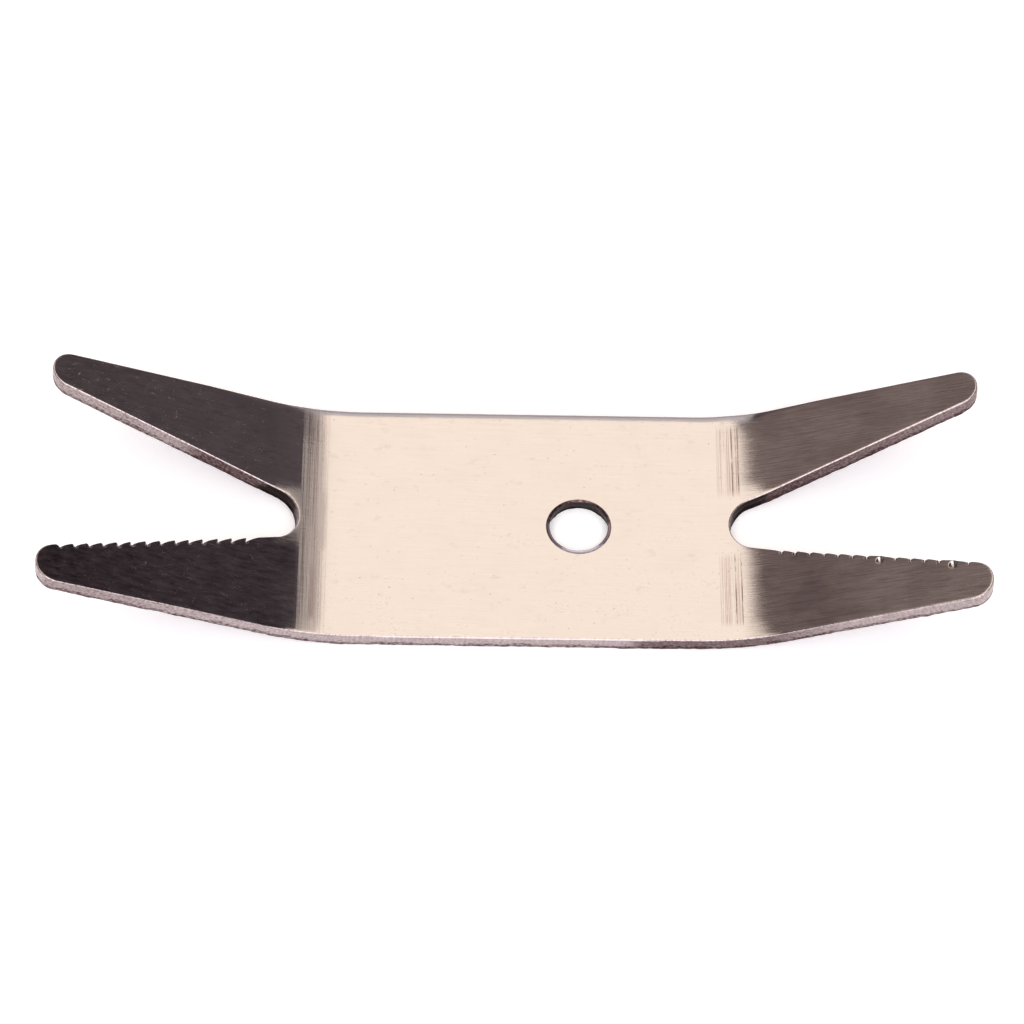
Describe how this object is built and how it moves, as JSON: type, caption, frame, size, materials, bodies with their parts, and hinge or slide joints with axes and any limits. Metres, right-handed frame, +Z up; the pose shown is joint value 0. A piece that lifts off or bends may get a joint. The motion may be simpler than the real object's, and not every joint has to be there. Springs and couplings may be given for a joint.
{
  "type": "double-ended v-jaw nut spanner",
  "caption": "Flat steel plate spanner with a V-shaped jaw at each upturned end, toothed along one flank, and a hanging hole, for turning potentiometer, jack and switch nuts.",
  "frame": {"origin": "under the middle of the tool's length and width, level with the flat underside it rests on", "axes": "+X along the tool towards the end nearer the hanging hole, +Y across it away from the toothed flanks, +Z up, the way both forks are bent"},
  "size_m": [0.1202, 0.0348, 0.015],
  "materials": {
    "plate_steel": "satin, brushed along its length, with bending marks across it at both bends"
  },
  "bodies": {
    "root": {"spanner_plate": "plate_steel"}
  },
  "joints": []
}
